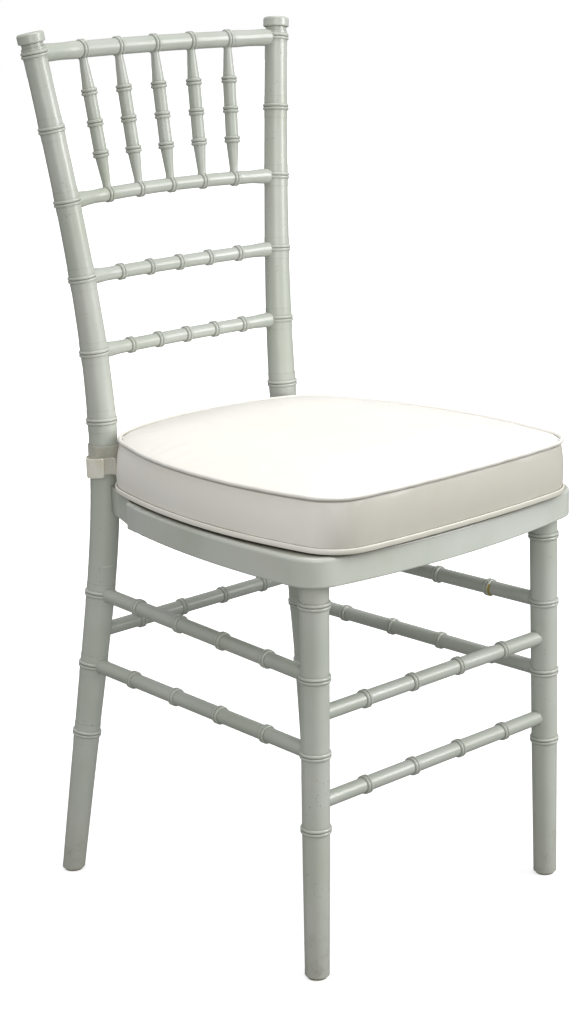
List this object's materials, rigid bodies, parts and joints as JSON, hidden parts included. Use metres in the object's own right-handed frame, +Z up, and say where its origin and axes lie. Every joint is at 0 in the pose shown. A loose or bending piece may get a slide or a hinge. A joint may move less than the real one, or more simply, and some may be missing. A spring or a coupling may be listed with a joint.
{
  "type": "chiavari chair",
  "caption": "Chiavari chair of white-painted turned wood with ringed posts, slatted back with slim spindles, and a loose white vinyl seat cushion strapped to the rear posts.",
  "frame": {"origin": "on the floor, in the middle of the chair's outline seen from above", "axes": "+Z up, -Y towards the front edge of the seat, +X to the right as seen from the front"},
  "size_m": [0.3956, 0.4751, 0.9221],
  "materials": {
    "painted_wood": "white semi-gloss lacquer on turned hardwood",
    "bare_wood": "plain fluted hardwood, glued",
    "steel": "zinc plated",
    "nylon": "off-white moulded nylon",
    "vinyl": "white grained vinyl, soft sheen",
    "foam": "open-cell seat foam",
    "backing_cloth": "plain woven backing cloth",
    "webbing": "ivory hook-and-loop webbing"
  },
  "bodies": {
    "frame": {"right_rear_post": "painted_wood", "left_rear_post": "painted_wood", "right_front_leg": "painted_wood", "left_front_leg": "painted_wood", "front_seat_rail": "painted_wood", "right_seat_rail": "painted_wood", "left_seat_rail": "painted_wood", "rear_seat_rail": "painted_wood", "seat_panel": "painted_wood", "top_rail": "painted_wood", "spindle_rail": "painted_wood", "upper_back_rail": "painted_wood", "lower_back_rail": "painted_wood", "back_spindle_1": "painted_wood", "back_spindle_2": "painted_wood", "back_spindle_3": "painted_wood", "back_spindle_4": "painted_wood", "back_spindle_5": "painted_wood", "upper_front_stretcher": "painted_wood", "lower_front_stretcher": "painted_wood", "rear_stretcher": "painted_wood", "upper_right_stretcher": "painted_wood", "lower_right_stretcher": "painted_wood", "upper_left_stretcher": "painted_wood", "lower_left_stretcher": "painted_wood", "frame_dowels": "bare_wood", "post_bolts": "steel", "barrel_nuts": "steel", "leg_screws": "steel", "panel_screws": "steel", "foot_glides": "nylon"},
    "cushion": {"cushion_cover": "vinyl", "cushion_foam": "foam", "cushion_base": "backing_cloth", "top_piping": "vinyl", "bottom_binding": "vinyl", "right_strap": "webbing", "left_strap": "webbing", "right_strap_end": "webbing", "left_strap_end": "webbing"}
  },
  "joints": [
    {"name": "cushion_lift", "type": "slide", "parent": "frame", "child": "cushion", "axis": [0, -0.342, 0.9397], "range_m": [0, 0.25], "deforming": ["right_strap", "left_strap", "right_strap_end", "left_strap_end"]}
  ]
}
